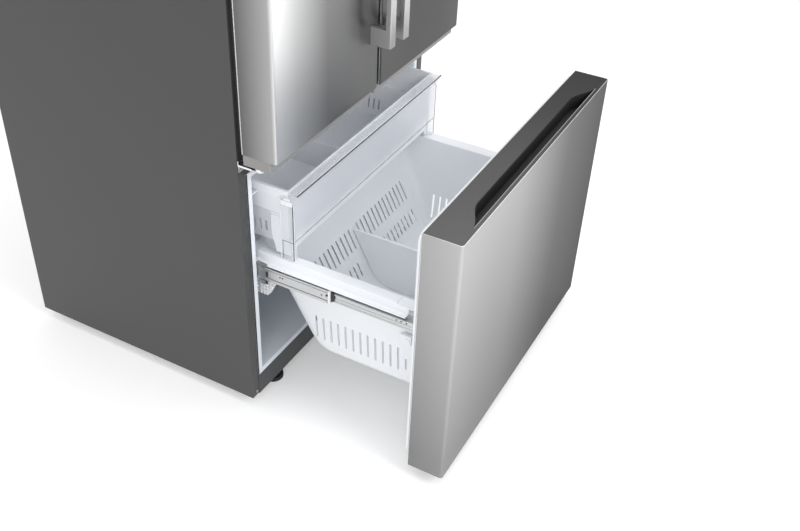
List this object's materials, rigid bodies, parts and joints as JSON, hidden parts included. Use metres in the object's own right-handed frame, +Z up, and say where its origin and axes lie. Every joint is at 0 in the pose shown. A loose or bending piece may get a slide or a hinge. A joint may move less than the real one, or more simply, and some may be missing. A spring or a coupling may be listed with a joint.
{
  "type": "bottom freezer refrigerator",
  "caption": "Wide refrigerator with two upper doors and a pull-out bottom freezer drawer holding a slotted basket, a clear-fronted tray and a finger pocket on top.",
  "frame": {"origin": "on the floor, under the middle of the whole outline with the drawer pulled out and the doors shut", "axes": "+X to the right as seen from the front, -Y to the front, +Z up"},
  "size_m": [0.908, 1.31, 1.778],
  "materials": {
    "side_grey": "satin",
    "zinc_steel": "matte",
    "dark_plastic": "fine grain",
    "foam": "foamed",
    "liner_white": "gloss",
    "slide_steel": "zinc plated",
    "white_plastic": "satin",
    "shelf_glass": "clear",
    "clear_plastic": "clear",
    "lens": "frosted",
    "black_plastic": "satin",
    "coil_metal": "bare",
    "compressor_black": "gloss",
    "foot_rubber": "matte",
    "roller_plastic": "matte",
    "stainless": "brushed",
    "cap_grey": "satin",
    "cap_silver": "satin",
    "gasket_white": "matte",
    "gasket_grey": "matte",
    "basket_white": "gloss",
    "handle_steel": "brushed",
    "mullion_grey": "satin"
  },
  "bodies": {
    "cabinet": {"cabinet_wrapper": "side_grey", "rear_panel": "zinc_steel", "base_tray": "zinc_steel", "kick_strip": "dark_plastic", "foam_insulation": "foam", "fresh_food_liner": "liner_white", "freezer_liner": "liner_white", "freezer_trim_frame": "liner_white", "cross_rail": "side_grey", "top_hinges": "slide_steel", "top_hinge_covers": "dark_plastic", "middle_hinges": "slide_steel", "cabinet_screws": "slide_steel", "shelf_frames": "white_plastic", "shelf_glass": "shelf_glass", "crisper_left": "clear_plastic", "crisper_right": "clear_plastic", "pantry_drawer": "clear_plastic", "lamp_lens": "lens", "air_duct_panel": "white_plastic", "control_panel": "black_plastic", "freezer_duct_panel": "white_plastic", "evaporator_coil": "coil_metal", "compressor": "compressor_black", "condenser_coil": "coil_metal", "fan_shroud": "black_plastic", "drain_pan": "white_plastic", "machine_room_cover": "zinc_steel", "slide_cabinet_members": "slide_steel", "cord_gland": "black_plastic"},
    "leg_left": {"levelling_leg_left": "foot_rubber"},
    "leg_right": {"levelling_leg_right": "foot_rubber"},
    "rollers": {"rear_rollers": "roller_plastic"},
    "freezer_fan": {"evaporator_fan": "black_plastic"},
    "machine_fan": {"condenser_fan": "black_plastic"},
    "slide_middle": {"slide_middle_members": "slide_steel", "slide_carriage_blocks": "white_plastic"},
    "drawer": {"drawer_front_skin": "stainless", "drawer_inner_panel": "liner_white", "drawer_top_cap": "cap_grey", "drawer_bottom_cap": "cap_grey", "drawer_gasket": "gasket_white", "slide_drawer_members": "slide_steel", "freezer_basket": "basket_white"},
    "divider": {"basket_divider": "basket_white"},
    "tray": {"freezer_tray": "basket_white", "tray_front_panel": "clear_plastic"},
    "door_left": {"door_left_skin": "stainless", "door_left_liner": "liner_white", "door_left_caps": "cap_silver", "door_left_gasket": "gasket_grey", "door_left_handle": "handle_steel", "door_left_bins": "clear_plastic"},
    "door_right": {"door_right_skin": "stainless", "door_right_liner": "liner_white", "door_right_caps": "cap_silver", "door_right_gasket": "gasket_grey", "door_right_handle": "handle_steel", "door_right_bins": "clear_plastic"},
    "mullion": {"door_mullion": "mullion_grey"}
  },
  "joints": [
    {"name": "door_left_hinge", "type": "hinge", "parent": "cabinet", "child": "door_left", "pos_m": [-0.446, -0.143, 1.2], "axis": [0, 0, -1], "range_deg": [0, 125]},
    {"name": "door_right_hinge", "type": "hinge", "parent": "cabinet", "child": "door_right", "pos_m": [0.446, -0.143, 1.2], "axis": [0, 0, 1], "range_deg": [0, 125]},
    {"name": "mullion_fold", "type": "hinge", "parent": "door_left", "child": "mullion", "pos_m": [-0.025, -0.0805, 1.2], "axis": [0, 0, -1], "range_deg": [0, 90]},
    {"name": "drawer_slide", "type": "slide", "parent": "cabinet", "child": "drawer", "axis": [0, -1, 0], "range_m": [-0.458, 0.012]},
    {"name": "middle_slide", "type": "slide", "parent": "cabinet", "child": "slide_middle", "axis": [0, -1, 0], "range_m": [-0.229, 0.006]},
    {"name": "tray_slide", "type": "slide", "parent": "cabinet", "child": "tray", "axis": [0, -1, 0], "range_m": [-0.1457, 0.004]},
    {"name": "divider_slide", "type": "slide", "parent": "drawer", "child": "divider", "axis": [1, 0, 0], "range_m": [-0.15, 0.15]},
    {"name": "freezer_fan_spin", "type": "hinge", "parent": "cabinet", "child": "freezer_fan", "pos_m": [0, 0.489, 0.612], "axis": [0, 1, 0], "continuous": true},
    {"name": "machine_fan_spin", "type": "hinge", "parent": "cabinet", "child": "machine_fan", "pos_m": [-0.09, 0.539, 0.176], "axis": [1, 0, 0], "continuous": true},
    {"name": "roller_spin", "type": "hinge", "parent": "cabinet", "child": "rollers", "pos_m": [0, 0.6, 0.016], "axis": [1, 0, 0], "continuous": true},
    {"name": "leg_left_turn", "type": "hinge", "parent": "cabinet", "child": "leg_left", "pos_m": [-0.322, -0.063, 0.02], "axis": [0, 0, 1], "continuous": true},
    {"name": "leg_right_turn", "type": "hinge", "parent": "cabinet", "child": "leg_right", "pos_m": [0.322, -0.063, 0.02], "axis": [0, 0, 1], "continuous": true}
  ],
  "couplings": [
    {"joint": "middle_slide", "follows": "drawer_slide", "ratio": 0.5},
    {"joint": "tray_slide", "follows": "drawer_slide", "ratio": 0.318}
  ]
}
